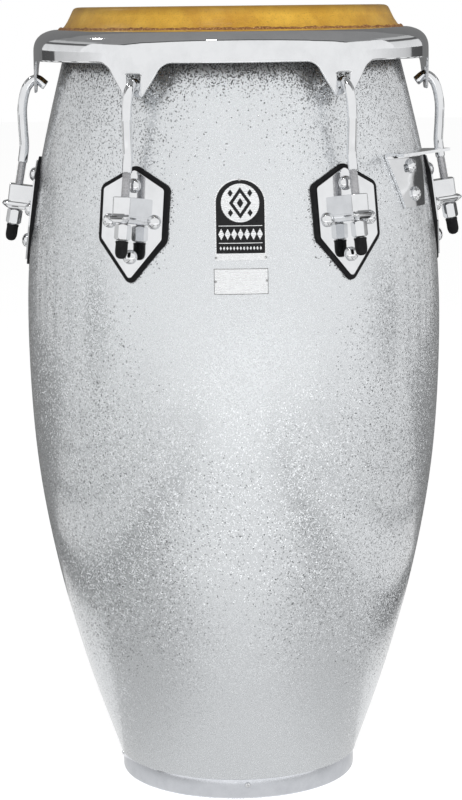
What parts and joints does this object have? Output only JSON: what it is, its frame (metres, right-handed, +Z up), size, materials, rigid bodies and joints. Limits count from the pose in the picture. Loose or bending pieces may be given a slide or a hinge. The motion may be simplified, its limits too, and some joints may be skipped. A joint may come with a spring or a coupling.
{
  "type": "conga drum",
  "caption": "Tall barrel-shaped hand drum: fibreglass shell, skin head held by a steel rim and threaded hooks, side plates, base ring and accessory bracket.",
  "frame": {"origin": "on the drum's vertical axis, at the floor under the base ring", "axes": "+Z up along the drum's axis; -Y towards the front, where the badge is; +X to the right seen from the front"},
  "size_m": [0.4524, 0.4052, 0.762],
  "materials": {
    "silver_lacquer": "glass-fibre shell in glossy silver sparkle lacquer with fine dark flecks",
    "skin": "natural rawhide, golden, slightly mottled, satin",
    "chrome": "polished chrome plate on steel",
    "black_rubber": "black moulded rubber",
    "steel": "plain round steel wire"
  },
  "bodies": {
    "drum": {"shell": "silver_lacquer", "head": "skin", "flesh_hoop": "steel", "base_ring": "chrome", "accessory_bracket": "chrome", "gasket_1": "black_rubber", "side_plate_1": "chrome", "plate_bolt_1_top": "chrome", "plate_bolt_1_right": "chrome", "plate_bolt_1_left": "chrome", "plate_bolt_1_bottom": "chrome", "rod_cap_1": "black_rubber", "gasket_2": "black_rubber", "side_plate_2": "chrome", "plate_bolt_2_top": "chrome", "plate_bolt_2_right": "chrome", "plate_bolt_2_left": "chrome", "plate_bolt_2_bottom": "chrome", "rod_cap_2": "black_rubber", "gasket_3": "black_rubber", "side_plate_3": "chrome", "plate_bolt_3_top": "chrome", "plate_bolt_3_right": "chrome", "plate_bolt_3_left": "chrome", "plate_bolt_3_bottom": "chrome", "rod_cap_3": "black_rubber", "gasket_4": "black_rubber", "side_plate_4": "chrome", "plate_bolt_4_top": "chrome", "plate_bolt_4_right": "chrome", "plate_bolt_4_left": "chrome", "plate_bolt_4_bottom": "chrome", "rod_cap_4": "black_rubber", "gasket_5": "black_rubber", "side_plate_5": "chrome", "plate_bolt_5_top": "chrome", "plate_bolt_5_right": "chrome", "plate_bolt_5_left": "chrome", "plate_bolt_5_bottom": "chrome", "rod_cap_5": "black_rubber", "gasket_6": "black_rubber", "side_plate_6": "chrome", "plate_bolt_6_top": "chrome", "plate_bolt_6_right": "chrome", "plate_bolt_6_left": "chrome", "plate_bolt_6_bottom": "chrome", "rod_cap_6": "black_rubber"},
    "rim": {"rim": "chrome"},
    "hook_1": {"tuning_hook_1": "chrome"},
    "nut_1": {"tuning_nut_1": "chrome"},
    "hook_2": {"tuning_hook_2": "chrome"},
    "nut_2": {"tuning_nut_2": "chrome"},
    "hook_3": {"tuning_hook_3": "chrome"},
    "nut_3": {"tuning_nut_3": "chrome"},
    "hook_4": {"tuning_hook_4": "chrome"},
    "nut_4": {"tuning_nut_4": "chrome"},
    "hook_5": {"tuning_hook_5": "chrome"},
    "nut_5": {"tuning_nut_5": "chrome"},
    "hook_6": {"tuning_hook_6": "chrome"},
    "nut_6": {"tuning_nut_6": "chrome"}
  },
  "joints": [
    {"name": "rim_draw", "type": "slide", "parent": "drum", "child": "rim", "axis": [0, 0, 1], "range_m": [0, 0.005]},
    {"name": "hook_draw_1", "type": "slide", "parent": "drum", "child": "hook_1", "axis": [-0.0885, 0.1534, 0.9842], "range_m": [0, 0.0051]},
    {"name": "hook_draw_2", "type": "slide", "parent": "drum", "child": "hook_2", "axis": [-0.1771, 0, 0.9842], "range_m": [0, 0.0051]},
    {"name": "hook_draw_3", "type": "slide", "parent": "drum", "child": "hook_3", "axis": [-0.0885, -0.1534, 0.9842], "range_m": [0, 0.0051]},
    {"name": "hook_draw_4", "type": "slide", "parent": "drum", "child": "hook_4", "axis": [0.0885, -0.1534, 0.9842], "range_m": [0, 0.0051]},
    {"name": "hook_draw_5", "type": "slide", "parent": "drum", "child": "hook_5", "axis": [0.1771, 0, 0.9842], "range_m": [0, 0.0051]},
    {"name": "hook_draw_6", "type": "slide", "parent": "drum", "child": "hook_6", "axis": [0.0885, 0.1534, 0.9842], "range_m": [0, 0.0051]},
    {"name": "nut_turn_1", "type": "hinge", "parent": "drum", "child": "nut_1", "pos_m": [0.1065, -0.18446, 0.568], "axis": [-0.0885, 0.1534, 0.9842], "range_deg": [-1464, 0]},
    {"name": "nut_turn_2", "type": "hinge", "parent": "drum", "child": "nut_2", "pos_m": [0.213, 0, 0.568], "axis": [-0.1771, 0, 0.9842], "range_deg": [-1464, 0]},
    {"name": "nut_turn_3", "type": "hinge", "parent": "drum", "child": "nut_3", "pos_m": [0.1065, 0.18446, 0.568], "axis": [-0.0885, -0.1534, 0.9842], "range_deg": [-1464, 0]},
    {"name": "nut_turn_4", "type": "hinge", "parent": "drum", "child": "nut_4", "pos_m": [-0.1065, 0.18446, 0.568], "axis": [0.0885, -0.1534, 0.9842], "range_deg": [-1464, 0]},
    {"name": "nut_turn_5", "type": "hinge", "parent": "drum", "child": "nut_5", "pos_m": [-0.213, 0, 0.568], "axis": [0.1771, 0, 0.9842], "range_deg": [-1464, 0]},
    {"name": "nut_turn_6", "type": "hinge", "parent": "drum", "child": "nut_6", "pos_m": [-0.1065, -0.18446, 0.568], "axis": [0.0885, 0.1534, 0.9842], "range_deg": [-1464, 0]}
  ],
  "couplings": [
    {"joint": "hook_draw_1", "follows": "rim_draw", "ratio": 1.0161},
    {"joint": "hook_draw_2", "follows": "rim_draw", "ratio": 1.0161},
    {"joint": "hook_draw_3", "follows": "rim_draw", "ratio": 1.0161},
    {"joint": "hook_draw_4", "follows": "rim_draw", "ratio": 1.0161},
    {"joint": "hook_draw_5", "follows": "rim_draw", "ratio": 1.0161},
    {"joint": "hook_draw_6", "follows": "rim_draw", "ratio": 1.0161},
    {"joint": "nut_turn_1", "follows": "rim_draw", "rad_per_m": -5107.3},
    {"joint": "nut_turn_2", "follows": "rim_draw", "rad_per_m": -5107.3},
    {"joint": "nut_turn_3", "follows": "rim_draw", "rad_per_m": -5107.3},
    {"joint": "nut_turn_4", "follows": "rim_draw", "rad_per_m": -5107.3},
    {"joint": "nut_turn_5", "follows": "rim_draw", "rad_per_m": -5107.3},
    {"joint": "nut_turn_6", "follows": "rim_draw", "rad_per_m": -5107.3}
  ]
}
